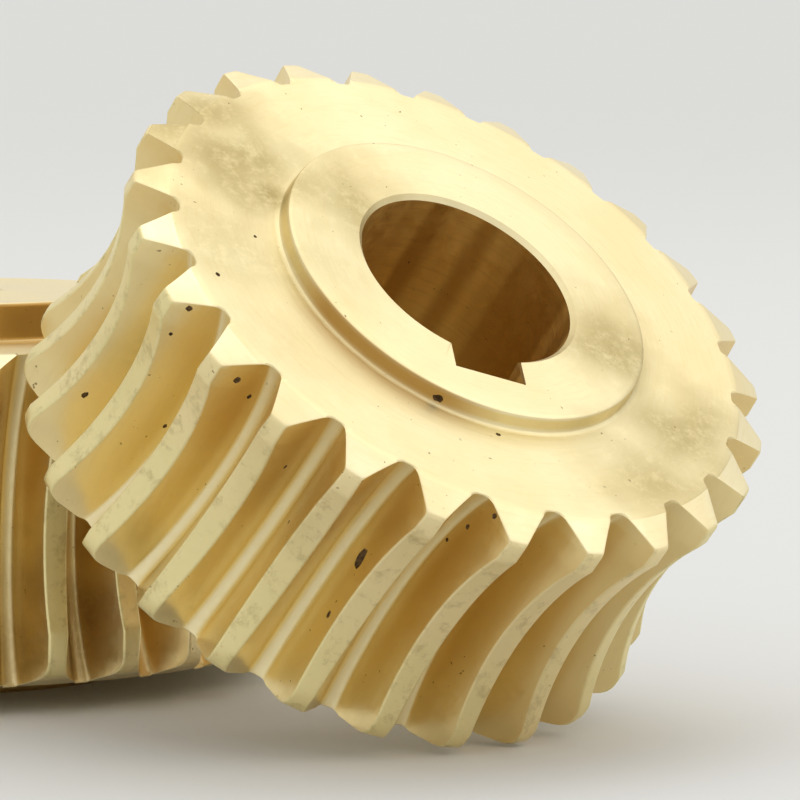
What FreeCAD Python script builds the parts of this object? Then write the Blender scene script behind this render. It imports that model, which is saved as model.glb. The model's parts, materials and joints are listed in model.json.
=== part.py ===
"""Pair of loose bronze worm wheels: one lies flat, the other leans against its rim.

Each wheel is a one-piece casting with a throated rim, skew-cut teeth, a raised boss on
both faces and a keyed bore. Every wheel is modelled about its own axis, with its
mid-plane at z = 0, and is then put in place. The part's frame stands on the floor:
the origin is where the rear wheel's axis meets it, +Z is up, and the front wheel's
axis tilts from +Z towards +X.
"""
import FreeCAD, Part
import math
import os
from collections import namedtuple

from FreeCAD import Vector

# Teeth, the same cutter for both wheels (mm and degrees)
MODULE = 2.5
WORM_PITCH_RADIUS = 33.75
LEAD_ANGLE = 2.85
MIDDLE_CREST_LAND = 2.5
END_CREST_LAND = 1.4
ROOT_LAND = 1.5
DEDENDUM = 1.2 * MODULE
RIM_HEIGHT = MODULE

# Turned details, the same on both wheels
BEVEL_DROP = 1.4
BEVEL_WIDTH = 3.75
BORE_CHAMFER = 0.5
BOSS_EDGE_RADIUS = 0.5
BOSS_FILLET = 0.7

# How the front wheel leans on the rear one
LEAN_ANGLE = 41.4
SIDE_OFFSET = 8.3
CONTACT_GAP = 0.3

# Cutting tools reach this far past the metal
OVERRUN = 0.6
END_OVERRUN = 1.0
SECTIONS = 9

Wheel = namedtuple(
    "Wheel",
    "teeth face_width bore_radius boss_radius upper_boss lower_boss "
    "key_width key_depth tooth_angle key_angle",
)

FRONT_WHEEL = Wheel(
    teeth=25, face_width=32.0, bore_radius=12.0, boss_radius=20.5,
    upper_boss=2.0, lower_boss=2.0, key_width=8.0, key_depth=3.3,
    tooth_angle=4.58, key_angle=-24.8,
)
REAR_WHEEL = Wheel(
    teeth=30, face_width=36.0, bore_radius=7.5, boss_radius=24.0,
    upper_boss=4.4, lower_boss=3.0, key_width=5.0, key_depth=2.3,
    tooth_angle=-5.0, key_angle=150.0,
)


def pitch_radius(wheel):
    return wheel.teeth * MODULE / 2


def centre_distance(wheel):
    """From the wheel's axis to the axis of the worm that it would run with."""
    return pitch_radius(wheel) + WORM_PITCH_RADIUS


def throat_radius(wheel):
    return pitch_radius(wheel) + MODULE


def rim_radius(wheel):
    return throat_radius(wheel) + RIM_HEIGHT


def throat_half_width(wheel):
    """Half the width of the hollow that the worm's root leaves in the rim."""
    arc = WORM_PITCH_RADIUS - MODULE
    return math.sqrt(arc ** 2 - (arc - RIM_HEIGHT) ** 2)


def crest_radius(wheel, z):
    """Radius of the tooth tops at height z from the mid-plane."""
    if abs(z) >= throat_half_width(wheel):
        return rim_radius(wheel)
    arc = WORM_PITCH_RADIUS - MODULE
    return centre_distance(wheel) - math.sqrt(arc ** 2 - z ** 2)


def root_radius(wheel, z):
    """Radius of the floor of the tooth spaces at height z from the mid-plane."""
    arc = WORM_PITCH_RADIUS + DEDENDUM
    return centre_distance(wheel) - math.sqrt(arc ** 2 - z ** 2)


def crest_land(wheel, z):
    """Width left on top of each tooth, widest in the middle of the throat."""
    share = (2 * z / wheel.face_width) ** 2
    return MIDDLE_CREST_LAND + (END_CREST_LAND - MIDDLE_CREST_LAND) * share


def profile_edges(points):
    """Edges through (radius, z) points; a three-point entry is an arc's start, middle and end."""
    edges = []
    corners = []
    for entry in points:
        arc = [Vector(r, 0, z) for r, z in entry]
        if corners and corners[-1].distanceToPoint(arc[0]) > 1e-6:
            edges.append(Part.makeLine(corners[-1], arc[0]))
        if len(arc) == 3:
            edges.append(Part.Arc(*arc).toShape())
        corners.append(arc[-1])
    first = Vector(points[0][0][0], 0, points[0][0][1])
    edges.append(Part.makeLine(corners[-1], first))
    return edges


def boss_outline(wheel, height):
    """Half outline of one face, from the bore to the rim, for a boss of this height."""
    face = wheel.face_width / 2
    top = face + height
    edge = BOSS_EDGE_RADIUS
    edge_mid = edge * (1 - math.sqrt(0.5))
    fillet = BOSS_FILLET
    fillet_mid = fillet * (1 - math.sqrt(0.5))
    outer = wheel.boss_radius
    rim = rim_radius(wheel)
    return [
        [(wheel.bore_radius, top - BORE_CHAMFER)],
        [(wheel.bore_radius + BORE_CHAMFER, top)],
        [(outer - edge, top), (outer - edge_mid, top - edge_mid), (outer, top - edge)],
        [(outer, face + fillet), (outer + fillet_mid, face + fillet_mid), (outer + fillet, face)],
        [(rim - BEVEL_WIDTH, face)],
        [(rim, face - BEVEL_DROP)],
    ]


def mirrored(outline):
    """The same outline on the other face, in the opposite order."""
    return [[(r, -z) for r, z in reversed(entry)] for entry in reversed(outline)]


def blank(wheel):
    """The turned casting before its teeth and keyway are cut."""
    half_width = throat_half_width(wheel)
    rim = rim_radius(wheel)
    throat = [[(rim, half_width), (throat_radius(wheel), 0), (rim, -half_width)]]
    upper = boss_outline(wheel, wheel.upper_boss)
    lower = mirrored(boss_outline(wheel, wheel.lower_boss))
    outline = Part.Wire(Part.__sortEdges__(profile_edges(upper + throat + lower)))
    return Part.Face(outline).revolve(Vector(), Vector(0, 0, 1), 360)


def space_section(wheel, z):
    """Trapezoid between two teeth at height z, turned by the teeth's slant."""
    root = root_radius(wheel, z)
    crest = crest_radius(wheel, z)
    half_root = ROOT_LAND / 2
    half_crest = math.pi * crest / wheel.teeth - crest_land(wheel, z) / 2
    slope = (half_crest - half_root) / (crest - root)
    outside = crest + OVERRUN
    half_outside = half_crest + slope * OVERRUN
    corners = [
        Vector(root, -half_root, z),
        Vector(outside, -half_outside, z),
        Vector(outside, half_outside, z),
        Vector(root, half_root, z),
    ]
    section = Part.makePolygon(corners + corners[:1])
    slant = math.tan(math.radians(LEAD_ANGLE)) * z / pitch_radius(wheel)
    section.rotate(Vector(), Vector(0, 0, 1), math.degrees(slant))
    return section


def tooth_spaces(wheel):
    """One cutter for each gap between teeth, half a pitch from the tooth at angle zero."""
    reach = wheel.face_width / 2 + END_OVERRUN
    step = 2 * reach / (SECTIONS - 1)
    sections = [space_section(wheel, -reach + i * step) for i in range(SECTIONS)]
    cutter = Part.makeLoft(sections, True, False)
    cutters = []
    for tooth in range(wheel.teeth):
        copy = cutter.copy()
        copy.rotate(Vector(), Vector(0, 0, 1), 360 / wheel.teeth * (tooth + 0.5))
        cutters.append(copy)
    return Part.makeCompound(cutters)


def keyway(wheel):
    """Box that cuts the keyway, along +X from the axis."""
    length = wheel.face_width + wheel.upper_boss + wheel.lower_boss + 2 * END_OVERRUN
    bottom = -wheel.face_width / 2 - wheel.lower_boss - END_OVERRUN
    base = Vector(0, -wheel.key_width / 2, bottom)
    return Part.makeBox(wheel.bore_radius + wheel.key_depth, wheel.key_width, length, base)


def worm_wheel(wheel):
    """Finished wheel about its own axis, with its teeth and keyway at their angles."""
    axis = Vector(0, 0, 1)
    spaces = tooth_spaces(wheel)
    spaces.rotate(Vector(), axis, wheel.tooth_angle)
    slot = keyway(wheel)
    slot.rotate(Vector(), axis, wheel.key_angle)
    return blank(wheel).cut(spaces).cut(slot)


def rear_height():
    """Height of the rear wheel's mid-plane, with its lower boss on the floor."""
    return REAR_WHEEL.lower_boss + REAR_WHEEL.face_width / 2


def front_centre():
    """Centre of the front wheel's mid-plane: low teeth on the floor, back face at the rear rim."""
    lean = math.radians(LEAN_ANGLE)
    half = FRONT_WHEEL.face_width / 2
    back_height = rim_radius(FRONT_WHEEL) * math.sin(lean) - BEVEL_DROP * math.cos(lean)
    rest_height = REAR_WHEEL.lower_boss + REAR_WHEEL.face_width - BEVEL_DROP
    rest_x = rim_radius(REAR_WHEEL) + CONTACT_GAP / math.sin(lean)
    back_x = rest_x + (rest_height - back_height) / math.tan(lean)
    return Vector(back_x + half * math.sin(lean), SIDE_OFFSET, back_height + half * math.cos(lean))


def rear_worm_wheel():
    wheel = worm_wheel(REAR_WHEEL)
    wheel.translate(Vector(0, 0, rear_height()))
    return wheel


def front_worm_wheel():
    wheel = worm_wheel(FRONT_WHEEL)
    wheel.rotate(Vector(), Vector(0, 1, 0), LEAN_ANGLE)
    wheel.translate(front_centre())
    return wheel


def save(name, shape):
    """Write one piece as parts/NAME.step, after checking that it is one closed solid."""
    solids = shape.Solids
    assert len(solids) == 1 and solids[0].isValid(), name
    solids[0].exportStep(os.path.join("parts", name + ".step"))
    box = shape.optimalBoundingBox()
    print(name, "volume", round(shape.Volume), "mm3, heights", round(box.ZMin, 3), round(box.ZMax, 3))


os.makedirs("parts", exist_ok=True)
save("rear_worm_wheel", rear_worm_wheel())
save("front_worm_wheel", front_worm_wheel())
print("front wheel centre", [round(value, 3) for value in front_centre()])
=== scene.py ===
"""Looks of the worm wheel pair: two cast bronze wheels, one flat and one leaning on it.

Both wheels are built as finished meshes that stand for their CAD nodes: rounded tooth
edges, root fillets, turned bosses, keyways and casting pores are geometry, and the tool
marks, stains, colour changes and painted shade are in procedural bronze materials.
Lengths that describe a wheel are in millimetres and become metres when its mesh is made.
"""

import json
import math
from dataclasses import dataclass

import bmesh
import bpy
import numpy as np
from mathutils import Matrix, Vector, noise


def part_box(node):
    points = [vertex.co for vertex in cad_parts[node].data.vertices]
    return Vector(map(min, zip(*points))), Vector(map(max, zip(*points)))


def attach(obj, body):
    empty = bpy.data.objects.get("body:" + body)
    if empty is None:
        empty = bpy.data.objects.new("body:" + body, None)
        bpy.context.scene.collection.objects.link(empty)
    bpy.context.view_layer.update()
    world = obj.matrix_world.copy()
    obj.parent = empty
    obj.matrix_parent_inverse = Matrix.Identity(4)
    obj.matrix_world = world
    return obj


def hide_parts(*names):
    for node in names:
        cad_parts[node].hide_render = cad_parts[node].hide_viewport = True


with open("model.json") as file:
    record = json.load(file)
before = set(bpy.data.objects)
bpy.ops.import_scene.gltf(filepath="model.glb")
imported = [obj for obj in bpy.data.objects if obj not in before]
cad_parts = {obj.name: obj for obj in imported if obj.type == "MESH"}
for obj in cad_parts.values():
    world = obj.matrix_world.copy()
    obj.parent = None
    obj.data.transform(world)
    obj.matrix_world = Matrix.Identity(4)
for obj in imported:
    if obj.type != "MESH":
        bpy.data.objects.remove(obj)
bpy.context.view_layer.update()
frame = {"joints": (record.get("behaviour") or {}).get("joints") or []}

MM = 0.001

# Teeth, the same cutter for both wheels
MODULE = 2.5
WORM_PITCH_RADIUS = 33.75
LEAD_ANGLE = 2.85
MIDDLE_CREST_LAND = 2.5
END_CREST_LAND = 1.4
ROOT_LAND = 1.5
DEDENDUM = 1.2 * MODULE
FLANK_BULGE = 0.12
ROOT_FILLET = 0.55
CREST_ROUND = 0.22
FACE_EDGE = 0.12

# How finely the meshes are divided, and the angle (degrees) above which an edge stays sharp
BEVEL_STEPS = 8
THROAT_STEPS = 14
BORE_STEPS = 10
SHARP_ANGLE = 28

# Share by which the skin of a pore wanders from a smooth ball
PORE_ROUGHNESS = 0.35

# Turned details, the same on both wheels
BEVEL_DROP = 1.4
BEVEL_WIDTH = 3.75
UPPER_RIM_ROUND = 0.4
LOWER_RIM_ROUND = 1.5
BORE_CHAMFER = 0.5
BOSS_EDGE_RADIUS = 0.5
BOSS_FILLET = 0.7

# Faces of half a tooth's outline on its crest with the rounded edge, and on the gap's floor
LAND_FACES = 5
GAP_FACES = 3

# Material zones of a wheel, in the order of its material slots
TURNED, BEVEL, FLANK, GAP, CREST, BORE, PORE = range(7)


@dataclass
class Wheel:
    teeth: int
    face_width: float
    bore_radius: float
    boss_radius: float
    upper_boss: float
    lower_boss: float
    key_width: float
    key_depth: float
    tooth_angle: float
    key_angle: float

    @property
    def pitch_radius(self):
        return self.teeth * MODULE / 2

    @property
    def rim_radius(self):
        return self.pitch_radius + 2 * MODULE

    @property
    def pitch(self):
        return 2 * math.pi / self.teeth

    @property
    def throat_half_width(self):
        arc = WORM_PITCH_RADIUS - MODULE
        return math.sqrt(arc ** 2 - (arc - MODULE) ** 2)

    def crest_radius(self, z):
        if abs(z) >= self.throat_half_width:
            return self.rim_radius
        arc = WORM_PITCH_RADIUS - MODULE
        return self.pitch_radius + WORM_PITCH_RADIUS - math.sqrt(arc ** 2 - z ** 2)

    def root_radius(self, z):
        arc = WORM_PITCH_RADIUS + DEDENDUM
        return self.pitch_radius + WORM_PITCH_RADIUS - math.sqrt(arc ** 2 - z ** 2)

    def crest_land(self, z):
        share = (2 * z / self.face_width) ** 2
        return MIDDLE_CREST_LAND + (END_CREST_LAND - MIDDLE_CREST_LAND) * share

    def slant(self, z):
        return math.tan(math.radians(LEAD_ANGLE)) * z / self.pitch_radius

    def space_angle(self, number, z):
        """Angle of the middle of the gap after tooth `number`, at height z."""
        return math.radians(self.tooth_angle) + self.pitch * (number + 0.5) + self.slant(z)


FRONT = Wheel(
    teeth=25, face_width=32.0, bore_radius=12.0, boss_radius=20.5,
    upper_boss=2.0, lower_boss=2.0, key_width=8.0, key_depth=3.3,
    tooth_angle=4.58, key_angle=-24.8,
)
REAR = Wheel(
    teeth=30, face_width=36.0, bore_radius=7.5, boss_radius=24.0,
    upper_boss=4.4, lower_boss=3.0, key_width=5.0, key_depth=2.3,
    tooth_angle=-5.0, key_angle=150.0,
)


def rounded(before, corner, after, steps):
    """Points strictly inside a soft corner, from `before` to `after`."""
    points = []
    for i in range(1, steps):
        t = i / steps
        points.append((1 - t) ** 2 * before + 2 * t * (1 - t) * corner + t ** 2 * after)
    return points


class Flank:
    """Half of one tooth space at height z, in the plane across the axis.

    x runs outwards along the middle of the space, and y across it towards the next tooth.
    """

    def __init__(self, wheel, z, outer, inset=0.0):
        self.wheel = wheel
        self.outer = outer - inset
        self.root = wheel.root_radius(z) - inset
        crest = wheel.crest_radius(z) - inset
        self.half_root = ROOT_LAND / 2 + inset
        half_crest = math.pi * crest / wheel.teeth - wheel.crest_land(z) / 2 + inset
        self.rise = crest - self.root
        self.spread = half_crest - self.half_root
        x = self.outer
        for _ in range(12):
            x = math.sqrt(self.outer ** 2 - self.half_width(x) ** 2)
        self.top = x
        self.length = math.hypot(x - self.root, self.half_width(x) - self.half_root)

    def half_width(self, x):
        share = (x - self.root) / self.rise
        return self.half_root + self.spread * share * (1 - FLANK_BULGE * (1 - share))

    def at(self, distance):
        x = self.root + (self.top - self.root) * distance / self.length
        return np.array([x, self.half_width(x)])

    def points(self, flank_steps=6):
        """From the middle of the space to the middle of the tooth."""
        fillet = min(ROOT_FILLET, 0.45 * self.length, 0.9 * self.half_root)
        round_off = min(CREST_ROUND, 0.45 * self.length)
        corner = self.at(self.length)
        corner_angle = math.atan2(corner[1], corner[0])
        land_start = corner_angle + round_off / self.outer
        tooth_middle = self.wheel.pitch / 2
        on_rim = lambda angle: self.outer * np.array([math.cos(angle), math.sin(angle)])
        root_corner = np.array([self.root, self.half_root])
        points = [np.array([self.root, 0.0]), root_corner - [0, fillet]]
        points += rounded(points[-1], root_corner, self.at(fillet), 3)
        reach = self.length - fillet - round_off
        points += [self.at(fillet + reach * i / flank_steps) for i in range(flank_steps + 1)]
        points += rounded(points[-1], corner, on_rim(land_start), 3)
        points += [on_rim(land_start), on_rim((land_start + tooth_middle) / 2), on_rim(tooth_middle)]
        return np.array(points)


def ring(wheel, z, outer, inset=0.0):
    """All points of the toothed outline at height z, and for each the share of its pitch."""
    half = Flank(wheel, z, outer, inset).points()
    angle = np.arctan2(half[:, 1], half[:, 0])
    radius = np.hypot(half[:, 0], half[:, 1])
    cell_angle = np.concatenate([-angle[:0:-1], angle[:-1]])
    cell_radius = np.concatenate([radius[:0:-1], radius[:-1]])
    angles = np.concatenate([wheel.space_angle(k, z) + cell_angle for k in range(wheel.teeth)])
    return angles, np.tile(cell_radius, wheel.teeth)


def crest_line(wheel, rim_round):
    """(height, radius) along the tooth tops, from a face to the mid-plane."""
    face = wheel.face_width / 2
    rim = wheel.rim_radius
    start = np.array([face, rim - BEVEL_WIDTH])
    corner = np.array([face - BEVEL_DROP, rim])
    along_bevel = (start - corner) / np.linalg.norm(start - corner)
    before = corner + along_bevel * rim_round
    after = corner - np.array([rim_round, 0.0])
    first = start + (corner - start) * FACE_EDGE / BEVEL_DROP
    line = [first + (before - first) * i / BEVEL_STEPS for i in range(BEVEL_STEPS + 1)]
    line += rounded(before, corner, after, 4)
    line += [after]
    throat = wheel.throat_half_width
    line += [np.array([throat, rim])]
    for i in range(1, THROAT_STEPS + 1):
        z = throat * (1 - i / THROAT_STEPS)
        line.append(np.array([z, wheel.crest_radius(z)]))
    return line


def bore_outline(wheel, angles, radius):
    """Bore with its keyway as points at about these angles; radius is the round part's."""
    half_key = wheel.key_width / 2
    floor = wheel.bore_radius + wheel.key_depth
    relative = (angles - math.radians(wheel.key_angle) + math.pi) % (2 * math.pi) - math.pi
    snapped = relative.copy()
    for side in (-1, 1):
        mouth = np.argmin(np.abs(relative - side * math.asin(half_key / wheel.bore_radius)))
        snapped[mouth] = side * math.asin(half_key / radius)
        inner = np.argmin(np.abs(relative - side * math.atan2(half_key, floor)))
        snapped[inner] = side * math.atan2(half_key, floor)
    size = np.abs(snapped)
    on_round = size >= math.asin(half_key / radius) - 1e-9
    on_floor = size <= math.atan2(half_key, floor) + 1e-9
    x = np.where(on_floor, floor, half_key / np.tan(np.maximum(size, 1e-6)))
    x = np.where(on_round, radius * np.cos(snapped), x)
    y = np.where(on_floor, floor * np.tan(snapped), np.sign(snapped) * half_key)
    y = np.where(on_round, radius * np.sin(snapped), y)
    turn = np.arctan2(y, x) + math.radians(wheel.key_angle) - angles
    return angles + (turn + math.pi) % (2 * math.pi) - math.pi, np.hypot(x, y)


def end_rings(wheel, side, boss):
    """Rings of one end from the toothed outline to the mouth of the bore, with their zones."""
    face = wheel.face_width / 2
    angles, radii = ring(wheel, side * face, wheel.rim_radius - BEVEL_WIDTH + FACE_EDGE, FACE_EDGE)
    count = len(angles)
    start = wheel.space_angle(0, side * face) - wheel.pitch / 2
    even = start + 2 * math.pi * np.arange(count) / count
    flat_end = wheel.boss_radius + BOSS_FILLET
    rings = [(angles, radii, face)]
    for share in (0.06, 0.2, 0.45, 0.7, 0.9):
        blend = min(1.0, share * 2)
        rings.append((angles + (even - angles) * blend, radii + (flat_end - radii) * share, face))
    turned = [(flat_end, face)]
    top = face + boss
    edge = BOSS_EDGE_RADIUS
    outer = wheel.boss_radius
    foot = [np.array([flat_end, face]), np.array([outer, face]), np.array([outer, face + BOSS_FILLET])]
    rim = [np.array([outer, top - edge]), np.array([outer, top]), np.array([outer - edge, top])]
    turned += [tuple(p) for p in rounded(*foot, 4)] + [tuple(foot[2]), tuple(rim[0])]
    turned += [tuple(p) for p in rounded(*rim, 4)] + [tuple(rim[2])]
    mouth = wheel.bore_radius + BORE_CHAMFER
    for share in (0.35, 0.7):
        turned.append((rim[2][0] + (mouth + 1.5 - rim[2][0]) * share, top))
    rings += [(even, np.full(count, radius), z) for radius, z in turned]
    mouth_angles, mouth_radii = bore_outline(wheel, even, mouth)
    rings.append((mouth_angles, mouth_radii, top))
    bore_angles, bore_radii = bore_outline(wheel, even, wheel.bore_radius)
    rings.append((bore_angles, bore_radii, top - BORE_CHAMFER))
    return [(a, r, side * z) for a, r, z in rings]


def wheel_rings(wheel):
    """Closed run of rings: upper end outwards, down the teeth, lower end inwards, up the bore."""
    upper = end_rings(wheel, 1, wheel.upper_boss)[::-1]
    lower = end_rings(wheel, -1, wheel.lower_boss)
    lower_line = crest_line(wheel, LOWER_RIM_ROUND)
    heights = crest_line(wheel, UPPER_RIM_ROUND) + [np.array([-z, r]) for z, r in lower_line[-2::-1]]
    toothed = [(*ring(wheel, z, radius), z) for z, radius in heights]
    top, bottom = upper[0], lower[-1]
    bore = []
    for i in range(1, BORE_STEPS):
        share = i / BORE_STEPS
        bore.append(tuple(b + (t - b) * share for b, t in zip(bottom, top)))
    zones = [TURNED] * len(upper) + [FLANK] * (len(toothed) - 1)
    zones += [TURNED] * len(lower) + [BORE] * (len(bore) + 1)
    return upper + toothed + lower + bore, zones


def wheel_mesh(name, wheel):
    """Closed mesh of a whole wheel, each face with the material of its zone."""
    rings, zones = wheel_rings(wheel)
    count = len(rings[0][0])
    points = [
        np.stack([r * np.cos(a), r * np.sin(a), np.full(count, z)], axis=1) for a, r, z in rings
    ]
    here = np.arange(count)
    ahead = np.roll(here, -1)
    faces = []
    for i in range(len(rings)):
        a = i * count
        b = (i + 1) % len(rings) * count
        faces.append(np.stack([a + here, b + here, b + ahead, a + ahead], axis=1))
    mesh = bpy.data.meshes.new(name)
    mesh.from_pydata((np.concatenate(points) * MM).tolist(), [], np.concatenate(faces).tolist())
    zone_of = np.repeat(zones, count)
    per_tooth = count // wheel.teeth
    from_crest = np.minimum(here % per_tooth, per_tooth - 1 - here % per_tooth)
    toothed = zone_of == FLANK
    on_crest = toothed & np.tile(from_crest < LAND_FACES, len(rings))
    heights = np.abs([z for _, _, z in rings])
    innermost = np.minimum(heights, np.roll(heights, -1))
    on_bevel = np.repeat(innermost > wheel.face_width / 2 - BEVEL_DROP, count)
    zone_of[on_crest] = CREST
    zone_of[on_crest & on_bevel] = BEVEL
    zone_of[toothed & np.tile(from_crest >= per_tooth / 2 - GAP_FACES, len(rings))] = GAP
    mesh.polygons.foreach_set("material_index", zone_of.astype(np.int32))
    mesh.polygons.foreach_set("use_smooth", np.ones(len(mesh.polygons), bool))
    mesh.update()
    return mesh


def flank_frame(wheel, space, side, z, share):
    """Place on a tooth flank, z axis out of the metal, x axis along the tooth.

    side -1 is the flank before the middle of the gap and 1 the one after it; share runs
    from 0 at the floor of the gap to 1 at the tooth top.
    """
    def point(z, share):
        outer = min(wheel.crest_radius(z), wheel.rim_radius)
        flank = Flank(wheel, z, outer)
        x, y = flank.at(flank.length * share)
        angle = wheel.space_angle(space, z) + side * math.atan2(y, x)
        radius = math.hypot(x, y)
        return Vector((radius * math.cos(angle), radius * math.sin(angle), z))
    here = point(z, share)
    along = (point(z + 0.2, share) - here).normalized()
    across = (point(z, share + 0.02) - here).normalized()
    out = along.cross(across).normalized()
    if out.dot(Vector((here.x, here.y, 0))) < 0:
        out = -out
    return here, along, out


def turned_frame(angle, radius, z, out):
    """Place on a turned surface, x axis round the wheel."""
    turn = math.radians(angle)
    here = Vector((radius * math.cos(turn), radius * math.sin(turn), z))
    along = Vector((-math.sin(turn), math.cos(turn), 0))
    outward = Vector((math.cos(turn), math.sin(turn), 0))
    return here, along, outward if out == "side" else Vector((0, 0, 1))


def pore_points(place, size, seed):
    """Vertices and faces of one rough pit, as a ball with an uneven skin."""
    here, along, out = place
    basis = Matrix((along, out.cross(along), out)).transposed()
    ball = bpy.data.meshes.new("pore_ball")
    maker = bmesh.new()
    bmesh.ops.create_icosphere(maker, subdivisions=3, radius=1.0)
    maker.to_mesh(ball)
    maker.free()
    points = []
    for vertex in ball.vertices:
        skin = 1 + PORE_ROUGHNESS * noise.noise(vertex.co * 1.6 + Vector((seed * 7.3, seed * 1.9, 0)))
        local = Vector([c * skin * s / 2 for c, s in zip(vertex.co, size)])
        points.append(tuple((here + basis @ local) * MM))
    faces = [tuple(face.vertices) for face in ball.polygons]
    bpy.data.meshes.remove(ball)
    return points, faces


def cut_pores(piece, pores):
    """Cuts every pit out of a wheel; the walls of the pits get the pore material."""
    points, faces = [], []
    for seed, (place, size) in enumerate(pores):
        new_points, new_faces = pore_points(place, size, seed)
        faces += [tuple(i + len(points) for i in face) for face in new_faces]
        points += new_points
    mesh = bpy.data.meshes.new("pores")
    mesh.from_pydata(points, [], faces)
    for material in piece.data.materials:
        mesh.materials.append(material)
    mesh.polygons.foreach_set("material_index", np.full(len(faces), PORE, np.int32))
    cutter = bpy.data.objects.new("pores", mesh)
    bpy.context.scene.collection.objects.link(cutter)
    cut = piece.modifiers.new("pores", "BOOLEAN")
    cut.operation = "DIFFERENCE"
    cut.solver = "EXACT"
    cut.object = cutter
    bpy.context.view_layer.update()
    evaluated = piece.evaluated_get(bpy.context.evaluated_depsgraph_get())
    whole = bpy.data.meshes.new_from_object(evaluated)
    piece.modifiers.remove(cut)
    piece.data = whole
    bpy.data.objects.remove(cutter)
    bpy.data.meshes.remove(mesh)


def make_wheel(name, wheel, place, materials, pores):
    """One finished wheel in its place, with its pores cut and its long edges kept crisp."""
    piece = bpy.data.objects.new(name, wheel_mesh(name, wheel))
    bpy.context.scene.collection.objects.link(piece)
    for material in materials:
        piece.data.materials.append(material)
    cut_pores(piece, pores)
    piece.data.set_sharp_from_angle(angle=math.radians(SHARP_ANGLE))
    piece.matrix_world = place
    normals = piece.modifiers.new("even_shading", "WEIGHTED_NORMAL")
    normals.keep_sharp = True
    return piece


class Nodes:
    """Short calls that build one material's node tree."""

    def __init__(self, name):
        self.material = bpy.data.materials.new(name)
        self.material.use_nodes = True
        self.tree = self.material.node_tree
        self.shader = self.tree.nodes["Principled BSDF"]
        self.place = self.tree.nodes.new("ShaderNodeTexCoord").outputs["Object"]

    def feed(self, socket, value):
        if isinstance(value, bpy.types.NodeSocket):
            self.tree.links.new(value, socket)
        elif isinstance(value, tuple) and len(value) == 3 and socket.type == "RGBA":
            socket.default_value = (*value, 1)
        else:
            socket.default_value = value

    def math(self, operation, *values, clamp=False):
        node = self.tree.nodes.new("ShaderNodeMath")
        node.operation = operation
        node.use_clamp = clamp
        for socket, value in zip(node.inputs, values):
            self.feed(socket, value)
        return node.outputs[0]

    def vector(self, operation, *values, output="Vector"):
        node = self.tree.nodes.new("ShaderNodeVectorMath")
        node.operation = operation
        for socket, value in zip(node.inputs, values):
            self.feed(socket, value)
        return node.outputs[output]

    def combine(self, x, y, z):
        node = self.tree.nodes.new("ShaderNodeCombineXYZ")
        for socket, value in zip(node.inputs, (x, y, z)):
            self.feed(socket, value)
        return node.outputs[0]

    def noise(self, place, scale, detail=3.0, roughness=0.5):
        node = self.tree.nodes.new("ShaderNodeTexNoise")
        self.feed(node.inputs["Vector"], place)
        self.feed(node.inputs["Scale"], scale)
        self.feed(node.inputs["Detail"], detail)
        self.feed(node.inputs["Roughness"], roughness)
        return node.outputs["Fac"]

    def ramp(self, value, low, high, out_low=0.0, out_high=1.0):
        node = self.tree.nodes.new("ShaderNodeMapRange")
        node.interpolation_type = "SMOOTHSTEP"
        for socket, number in zip(node.inputs, (value, low, high, out_low, out_high)):
            self.feed(socket, number)
        return node.outputs[0]

    def mix(self, share, first, second):
        node = self.tree.nodes.new("ShaderNodeMix")
        node.data_type = "RGBA"
        colours = [socket for socket in node.inputs if socket.type == "RGBA"]
        self.feed(node.inputs[0], share)
        self.feed(colours[0], first)
        self.feed(colours[1], second)
        return [socket for socket in node.outputs if socket.type == "RGBA"][0]

    def bump(self, height, distance, strength=1.0, normal=None):
        node = self.tree.nodes.new("ShaderNodeBump")
        self.feed(node.inputs["Height"], height)
        node.inputs["Distance"].default_value = distance
        node.inputs["Strength"].default_value = strength
        if normal is not None:
            self.feed(node.inputs["Normal"], normal)
        return node.outputs[0]

    def axes(self):
        """The wheel's own x, y and z."""
        split = self.tree.nodes.new("ShaderNodeSeparateXYZ")
        self.feed(split.inputs[0], self.place)
        return tuple(split.outputs)

    def scaled(self, x_scale, y_scale, z_scale):
        """The place in the wheel, stretched along each axis."""
        return self.vector("MULTIPLY", self.place, (x_scale, y_scale, z_scale))

    def finish(self, colour, roughness, normal, metallic=1.0):
        self.feed(self.shader.inputs["Base Color"], colour)
        self.feed(self.shader.inputs["Roughness"], roughness)
        self.feed(self.shader.inputs["Normal"], normal)
        self.shader.inputs["Metallic"].default_value = metallic
        return self.material


FRESH_BRONZE = (0.96, 0.85, 0.55)
PALE_BRONZE = (0.93, 0.81, 0.49)
BRONZE = (0.90, 0.76, 0.43)
DEEP_BRONZE = (0.80, 0.60, 0.26)
GOLDEN = (0.90, 0.74, 0.38)
OLIVE = (0.86, 0.75, 0.39)
ORANGE_BROWN = (0.50, 0.30, 0.09)
BORE_BROWN = (0.62, 0.38, 0.10)
BORE_GOLD = (0.92, 0.66, 0.22)
# Painted shade colour for the lower teeth of the flat wheel
SHADE_UMBER = (0.30, 0.17, 0.05)
TARNISH = (0.45, 0.35, 0.14)
DIRT = (0.20, 0.13, 0.05)
PORE_BLACK = (0.09, 0.05, 0.02)
PORE_BROWN = (0.26, 0.15, 0.05)


def cloudy_patch(nodes, angle, radius, z, reach, warp):
    """Mask of a cloudy patch centred on a place of the wheel."""
    turn = math.radians(angle)
    centre = Vector((radius * math.cos(turn), radius * math.sin(turn), z)) * MM
    away = nodes.vector("DISTANCE", nodes.place, tuple(centre), output="Value")
    uneven = nodes.math("ADD", away, nodes.math("MULTIPLY", warp, reach * 2.6 * MM))
    return nodes.ramp(uneven, reach * 1.7 * MM, reach * 0.2 * MM)


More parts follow.
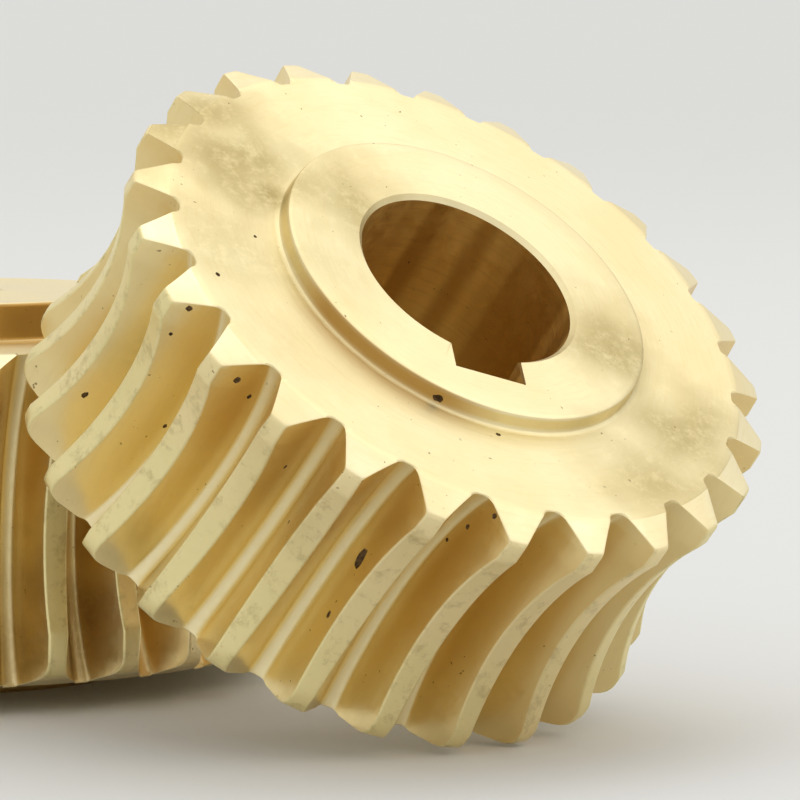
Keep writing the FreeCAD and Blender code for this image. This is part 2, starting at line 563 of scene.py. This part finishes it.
def stains_and_shade(nodes, patches, scale=130.0):
    """Strongest of several masks of stains and painted shade, each times its own strength, broken up by
    scratches.
    """
    if not patches:
        return 0.0
    warp = nodes.math("SUBTRACT", nodes.noise(nodes.place, scale, 8.0, 0.7), 0.4)
    total = None
    for angle, radius, z, reach, strength in patches:
        mask = nodes.math("MULTIPLY", cloudy_patch(nodes, angle, radius, z, reach, warp), strength)
        total = mask if total is None else nodes.math("MAXIMUM", total, mask)
    broken = nodes.ramp(nodes.noise(nodes.place, 520.0, 7.0, 0.75), 0.3, 0.62, 0.5, 1.0)
    return nodes.math("MULTIPLY", total, broken)


def specks(nodes, colour, rarity=0.73):
    """Uneven pinholes under half a millimetre wide, in loose groups."""
    grains = nodes.ramp(nodes.noise(nodes.place, 1500.0, 1.0, 0.5), rarity, rarity + 0.05)
    groups = nodes.ramp(nodes.noise(nodes.place, 150.0, 2.0), 0.48, 0.62)
    share = nodes.math("MULTIPLY", nodes.math("MULTIPLY", grains, groups), 0.8)
    return nodes.mix(share, colour, DIRT)


def painted_wall_shade(nodes, wheel, radius, angle, stretch):
    """Mask of painted shade: a brown stretch of the wall round a boss; stretch is its middle and half width.
    """
    off_wall = nodes.math("ABSOLUTE", nodes.math("SUBTRACT", radius, wheel.boss_radius * MM))
    on_wall = nodes.ramp(off_wall, 0.3 * MM, 0.05 * MM)
    middle, half_width = (math.radians(degrees) for degrees in stretch)
    away = nodes.math("ABSOLUTE", nodes.math("SUBTRACT", angle, middle))
    return nodes.math("MULTIPLY", on_wall, nodes.ramp(away, half_width, half_width * 0.45))


def turned_bronze(name, wheel, patches, shaded_wall_stretch, base):
    """Faces, bosses and bevels: broken lathe rings, clouds, patches of stain and of painted shade, and
    painted shade on the boss's brown wall.
    """
    nodes = Nodes(name)
    x, y, _ = nodes.axes()
    radius = nodes.vector("LENGTH", nodes.scaled(1.0, 1.0, 0.0), output="Value")
    angle = nodes.math("ARCTAN2", y, x)
    swept = nodes.combine(radius, nodes.math("MULTIPLY", x, 0.1), nodes.math("MULTIPLY", y, 0.1))
    rings = nodes.noise(swept, 2600.0, 4.0, 0.7)
    clouds = nodes.noise(nodes.place, 60.0, 5.0, 0.6)
    grain = nodes.noise(nodes.place, 900.0, 3.0, 0.6)
    patch_masks = stains_and_shade(nodes, patches)
    colour = nodes.mix(nodes.ramp(clouds, 0.35, 0.7), base, BRONZE)
    colour = nodes.mix(nodes.math("MULTIPLY", nodes.ramp(rings, 0.45, 0.75), 0.2), colour, DEEP_BRONZE)
    colour = nodes.mix(patch_masks, colour, TARNISH)
    # Painted shade: a stretch of the boss's wall is turned orange-brown
    wall = nodes.math("MULTIPLY", painted_wall_shade(nodes, wheel, radius, angle, shaded_wall_stretch), 0.9)
    colour = nodes.mix(wall, colour, ORANGE_BROWN)
    colour = specks(nodes, colour)
    roughness = nodes.ramp(clouds, 0.3, 0.7, 0.36, 0.46)
    roughness = nodes.math("ADD", roughness, nodes.math("MULTIPLY", patch_masks, 0.14))
    lines = nodes.bump(rings, 0.00003, 0.6)
    normal = nodes.bump(grain, 0.00002, 0.5, lines)
    return nodes.finish(colour, roughness, normal)


def tooth_bronze(name, patches, mark, base, deep, roughness, rough_grain, mottle=0.0):
    """One strip of the teeth: flank, gap floor or crest, each with its own colour and grain."""
    nodes = Nodes(name)
    streaks = nodes.noise(nodes.scaled(1.0, 1.0, 0.06), 1500.0, 3.0, 0.6)
    slow = nodes.noise(nodes.place, 45.0, 2.0, 0.5)
    grain = nodes.noise(nodes.place, 1300.0, 3.0, 0.6)
    patch_masks = stains_and_shade(nodes, patches)
    colour = nodes.mix(nodes.ramp(slow, 0.4, 0.65), base, deep)
    colour = nodes.mix(nodes.math("MULTIPLY", nodes.ramp(streaks, 0.5, 0.8), 0.25), colour, deep)
    blotches = nodes.ramp(nodes.noise(nodes.place, 420.0, 5.0, 0.7), 0.5, 0.68)
    colour = nodes.mix(nodes.math("MULTIPLY", blotches, mottle), colour, TARNISH)
    # Patches in the patch colour: stains, and painted shade on the flat wheel's lower teeth
    colour = nodes.mix(nodes.math("MULTIPLY", patch_masks, 0.8), colour, mark)
    colour = specks(nodes, colour)
    lines = nodes.bump(streaks, 0.00003, 0.5)
    normal = nodes.bump(grain, rough_grain * MM, 0.5, lines)
    return nodes.finish(colour, nodes.ramp(grain, 0.3, 0.7, roughness - 0.04, roughness + 0.06), normal)


def bore_bronze(name, patches):
    """Reamed bore: broad golden bands along the axis on brown, and fine rings across them."""
    nodes = Nodes(name)
    bands = nodes.noise(nodes.scaled(1.0, 1.0, 0.0), 190.0, 1.0, 0.4)
    rings = nodes.noise(nodes.scaled(0.07, 0.07, 1.0), 2400.0, 4.0, 0.7)
    grain = nodes.noise(nodes.place, 700.0, 4.0, 0.7)
    patch_masks = stains_and_shade(nodes, patches)
    colour = nodes.mix(nodes.ramp(bands, 0.44, 0.58), BORE_BROWN, BORE_GOLD)
    colour = nodes.mix(nodes.math("MULTIPLY", nodes.ramp(rings, 0.45, 0.75), 0.3), colour, ORANGE_BROWN)
    colour = nodes.mix(patch_masks, colour, OLIVE)
    colour = specks(nodes, colour)
    lines = nodes.bump(rings, 0.00003, 0.6)
    normal = nodes.bump(grain, 0.00002, 0.5, lines)
    return nodes.finish(colour, nodes.ramp(grain, 0.3, 0.7, 0.42, 0.54), normal)


def pore_bronze(name):
    """Dark, rough inside of a casting pore."""
    nodes = Nodes(name)
    grain = nodes.noise(nodes.place, 2500.0, 4.0, 0.7)
    colour = nodes.mix(nodes.ramp(grain, 0.35, 0.7), PORE_BLACK, PORE_BROWN)
    return nodes.finish(colour, 0.7, nodes.bump(grain, 0.0001, 0.8), metallic=0.5)


def front_place():
    """Where the leaning wheel is at rest, from its joint in the frame."""
    joint = frame["joints"][0]
    axis = Vector(joint["axis"])
    lean = math.atan2(axis.x, axis.z)
    return Matrix.Translation(Vector(joint["pos_m"])) @ Matrix.Rotation(lean, 4, "Y")


def rear_place():
    """Where the flat wheel is, from the box of its CAD node."""
    low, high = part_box("rear_worm_wheel")
    middle = low.z + (REAR.lower_boss + REAR.face_width / 2) * MM
    return Matrix.Translation(((low.x + high.x) / 2, (low.y + high.y) / 2, middle))


# Studio: a pale floor of this half width (metres), and the dome's grey from horizon to zenith
FLOOR_GREY = (0.72, 0.72, 0.71)
FLOOR_REACH = 30.0
DOME_STOPS = [(0.0, 0.75), (0.3, 0.62), (0.7, 0.8), (1.0, 1.0)]
DOME_STRENGTH = 1.2

# Camera: where it looks and from how far (metres), its direction (degrees) and lens (millimetres)
CAMERA_AIM = (0.0774, 0.0030, 0.0357)
CAMERA_DISTANCE = 0.487
CAMERA_AZIMUTH = 48.42
CAMERA_ELEVATION = 5.07
LENS_LENGTH = 212.43
SENSOR_WIDTH = 36


def make_floor():
    """Plain pale floor, far wider than any view of the part."""
    mesh = bpy.data.meshes.new("floor")
    reach = FLOOR_REACH
    corners = [(-reach, -reach, 0), (reach, -reach, 0), (reach, reach, 0), (-reach, reach, 0)]
    mesh.from_pydata(corners, [], [(0, 1, 2, 3)])
    floor = bpy.data.objects.new("floor", mesh)
    bpy.context.scene.collection.objects.link(floor)
    material = bpy.data.materials.new("floor_paint")
    material.use_nodes = True
    shader = material.node_tree.nodes["Principled BSDF"]
    shader.inputs["Base Color"].default_value = (*FLOOR_GREY, 1)
    shader.inputs["Roughness"].default_value = 0.8
    mesh.materials.append(material)


def area_light(name, position, aim, size, watts, colour=(1, 1, 1)):
    data = bpy.data.lights.new(name, "AREA")
    data.shape = "RECTANGLE"
    data.size, data.size_y = size
    data.energy = watts
    data.color = colour
    light = bpy.data.objects.new(name, data)
    light.location = position
    light.rotation_mode = "QUATERNION"
    light.rotation_quaternion = (Vector(aim) - Vector(position)).to_track_quat("-Z", "Y")
    bpy.context.scene.collection.objects.link(light)


def make_world():
    """Soft dome, brightest overhead and dimmest a little above the horizon."""
    world = bpy.data.worlds.new("studio")
    world.use_nodes = True
    tree = world.node_tree
    place = tree.nodes.new("ShaderNodeTexCoord")
    split = tree.nodes.new("ShaderNodeSeparateXYZ")
    tree.links.new(place.outputs["Generated"], split.inputs[0])
    ramp = tree.nodes.new("ShaderNodeValToRGB")
    tree.links.new(split.outputs["Z"], ramp.inputs["Fac"])
    elements = ramp.color_ramp.elements
    while len(elements) < len(DOME_STOPS):
        elements.new(0.5)
    for element, (position, level) in zip(elements, DOME_STOPS):
        element.position = position
        element.color = (level, level, level * 0.98, 1)
    background = tree.nodes["Background"]
    tree.links.new(ramp.outputs["Color"], background.inputs["Color"])
    background.inputs["Strength"].default_value = DOME_STRENGTH
    bpy.context.scene.world = world


def make_lights():
    aim = (0.05, 0, 0.03)
    area_light("top_softbox", (-0.15, 0.35, 1.1), aim, (0.9, 0.9), 1.3)
    area_light("side_softbox", (0.63, 0.56, 0.66), aim, (0.7, 0.7), 0.9)
    make_world()


def make_camera():
    azimuth = math.radians(CAMERA_AZIMUTH)
    elevation = math.radians(CAMERA_ELEVATION)
    back = Vector((
        math.sin(azimuth) * math.cos(elevation),
        -math.cos(azimuth) * math.cos(elevation),
        math.sin(elevation),
    ))
    data = bpy.data.cameras.new("camera")
    data.sensor_width = SENSOR_WIDTH
    data.lens = LENS_LENGTH
    camera = bpy.data.objects.new("camera", data)
    camera.location = Vector(CAMERA_AIM) + back * CAMERA_DISTANCE
    camera.rotation_mode = "QUATERNION"
    camera.rotation_quaternion = (-back).to_track_quat("-Z", "Y")
    bpy.context.scene.collection.objects.link(camera)
    bpy.context.scene.camera = camera


@dataclass
class WearAndShade:
    """Stains and painted shade of a wheel as (angle, radius, height, reach, strength), and its colours."""
    face: list
    bevel: list
    teeth: list
    gaps: list
    crests: list
    bore: list
    shaded_wall_stretch: tuple
    shade: tuple
    mark: tuple


FRONT_TOP = FRONT.face_width / 2
FRONT_BOSS_TOP = FRONT_TOP + FRONT.upper_boss
FRONT_TOOTH_STAINS = [(-58, 32, 4, 5.0, 0.4), (-72, 32, -13, 4.0, 0.8), (-104, 31, 0, 5.0, 0.4)]
FRONT_WEAR_AND_SHADE = WearAndShade(
    face=[
        # Stains on the face, and at -134° just outside the boss a painted shadow
        (-138, 27, FRONT_TOP, 11.0, 0.9), (-150, 31, FRONT_TOP, 8.0, 0.8), (-134, 22.5, FRONT_TOP, 4.5, 1.0),
        (-110, 27, FRONT_TOP, 16.0, 0.45), (-85, 28, FRONT_TOP, 11.0, 0.25), (34, 28, FRONT_TOP, 10.0, 0.85),
        (14, 29, FRONT_TOP, 9.0, 0.7), (50, 17, FRONT_BOSS_TOP, 9.0, 0.85),
        (-144, 15, FRONT_BOSS_TOP, 10.0, 0.85), (-100, 17, FRONT_BOSS_TOP, 9.0, 0.3),
    ],
    bevel=[(-145, 34, FRONT_TOP, 14.0, 0.85)],
    teeth=FRONT_TOOTH_STAINS, gaps=[], crests=FRONT_TOOTH_STAINS,
    bore=[(20, 12, 14, 6.0, 0.9)],
    shaded_wall_stretch=(-62, 42), shade=PALE_BRONZE, mark=TARNISH,
)
# Painted shade: the lower part of the flat wheel's teeth and gaps is darkened to umber
REAR_LOW_SHADE = [(-75, 36, -14, 15.0, 1.0), (-45, 36, -14, 15.0, 1.0), (-15, 36, -12, 12.0, 0.9)]
REAR_WEAR_AND_SHADE = WearAndShade(
    face=[(-60, 26, 20, 6.0, 0.5), (-90, 33, 18, 6.0, 0.4)], bevel=[],
    teeth=REAR_LOW_SHADE, gaps=REAR_LOW_SHADE, crests=[], bore=[],
    shaded_wall_stretch=(-50, 140), shade=BRONZE, mark=SHADE_UMBER,
)


def front_pores():
    """Casting pores and chips of the leaning wheel: place, then length, width and depth."""
    return [
        (turned_frame(-42, 20.5, FRONT_TOP + 0.7, "side"), (1.2, 0.75, 0.9)),
        (flank_frame(FRONT, -4, 1, 2.5, 0.5), (2.8, 1.3, 1.2)),
        (flank_frame(FRONT, -4, 1, -4.5, 0.7), (0.9, 0.6, 0.6)),
        (flank_frame(FRONT, -6, -1, 13, 0.55), (0.9, 0.7, 0.6)),
        (flank_frame(FRONT, -6, -1, 10.5, 0.2), (0.7, 0.5, 0.5)),
        (flank_frame(FRONT, -5, -1, 7.5, 0.45), (0.6, 0.4, 0.5)),
        (flank_frame(FRONT, -5, 1, 1.5, 0.4), (0.5, 0.4, 0.4)),
        (flank_frame(FRONT, -3, 1, 7.5, 0.1), (0.5, 0.4, 0.4)),
        (flank_frame(FRONT, -3, 1, 15, 0.4), (0.8, 0.5, 0.5)),
        (flank_frame(FRONT, -3, 1, 11, 0.2), (0.7, 0.5, 0.5)),
        (flank_frame(FRONT, -7, -1, 14.5, 0.65), (0.8, 0.6, 0.5)),
        (flank_frame(FRONT, -7, -1, 10.5, 0.8), (0.5, 0.4, 0.4)),
        (flank_frame(FRONT, -7, -1, -2, 0.15), (0.6, 0.4, 0.4)),
        (flank_frame(FRONT, -8, -1, -7, 0.7), (0.9, 0.6, 0.6)),
        (turned_frame(-23, 21.8, FRONT_TOP, "up"), (0.6, 0.4, 0.4)),
        (turned_frame(-98, 30, FRONT_TOP, "up"), (0.6, 0.5, 0.4)),
        (turned_frame(-113, 23.6, FRONT_TOP, "up"), (0.45, 0.35, 0.3)),
    ]


def rear_pores():
    """Casting pores of the flat wheel, written in the same way."""
    return [
        (flank_frame(REAR, -8, 1, -12.5, 0.5), (2.2, 1.1, 1.0)),
        (flank_frame(REAR, -6, 1, -2.0, 0.5), (0.9, 0.5, 0.6)),
    ]


def wheel_materials(name, wheel, wear_and_shade):
    """Materials in the order of the zones."""
    return [
        turned_bronze(name + "_turned", wheel, wear_and_shade.face, wear_and_shade.shaded_wall_stretch, wear_and_shade.shade),
        turned_bronze(name + "_bevel", wheel, wear_and_shade.bevel, wear_and_shade.shaded_wall_stretch, FRESH_BRONZE),
        tooth_bronze(name + "_flank", wear_and_shade.teeth, wear_and_shade.mark, GOLDEN, DEEP_BRONZE, 0.34, 0.015),
        tooth_bronze(name + "_gap", wear_and_shade.gaps, wear_and_shade.mark, wear_and_shade.shade, BRONZE, 0.40, 0.02),
        tooth_bronze(name + "_crest", wear_and_shade.crests, wear_and_shade.mark, OLIVE, BRONZE, 0.46, 0.06, 0.4),
        bore_bronze(name + "_bore", wear_and_shade.bore),
        pore_bronze(name + "_pore"),
    ]


def make_wheels():
    front_materials = wheel_materials("front", FRONT, FRONT_WEAR_AND_SHADE)
    rear_materials = wheel_materials("rear", REAR, REAR_WEAR_AND_SHADE)
    front = make_wheel("front_wheel_bronze", FRONT, front_place(), front_materials, front_pores())
    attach(front, "front_wheel")
    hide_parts("front_worm_wheel")
    rear = make_wheel("rear_wheel_bronze", REAR, rear_place(), rear_materials, rear_pores())
    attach(rear, "rear_wheel")
    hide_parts("rear_worm_wheel")


make_wheels()
make_floor()
make_lights()
make_camera()
bpy.context.scene.view_settings.view_transform = "Standard"
